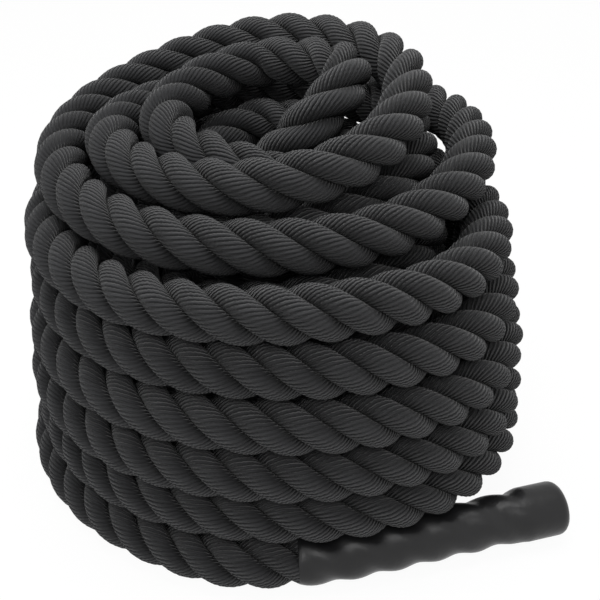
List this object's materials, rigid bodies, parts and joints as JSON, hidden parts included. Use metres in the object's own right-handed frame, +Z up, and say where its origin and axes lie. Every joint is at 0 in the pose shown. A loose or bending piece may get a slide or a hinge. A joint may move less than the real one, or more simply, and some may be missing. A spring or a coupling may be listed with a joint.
{
  "type": "battle rope",
  "caption": "Thick laid exercise rope coiled in an upright pile, with a black shrunk grip sleeve over each end, for two-handed wave training.",
  "frame": {"origin": "on the floor, at the centre of the pile's bounding box", "axes": "+Z up, -Y towards the side where the front grip lies, +X towards that grip's closed end"},
  "size_m": [0.4192, 0.3948, 0.3084],
  "materials": {
    "rope": "twisted charcoal polyester yarns, dull with a faint sheen on the strand tops",
    "sleeve": "satin black heat-shrunk polyolefin, drawn into the rope's lay",
    "whipping": "dull grey woven binding tape, hidden under the sleeve"
  },
  "bodies": {
    "root": {"rope_coil": "rope", "front_strand_end_1": "rope", "front_strand_end_2": "rope", "front_strand_end_3": "rope", "front_whipping": "whipping", "front_grip_sleeve": "sleeve", "rear_strand_end_1": "rope", "rear_strand_end_2": "rope", "rear_strand_end_3": "rope", "rear_whipping": "whipping", "rear_grip_sleeve": "sleeve"}
  },
  "joints": []
}
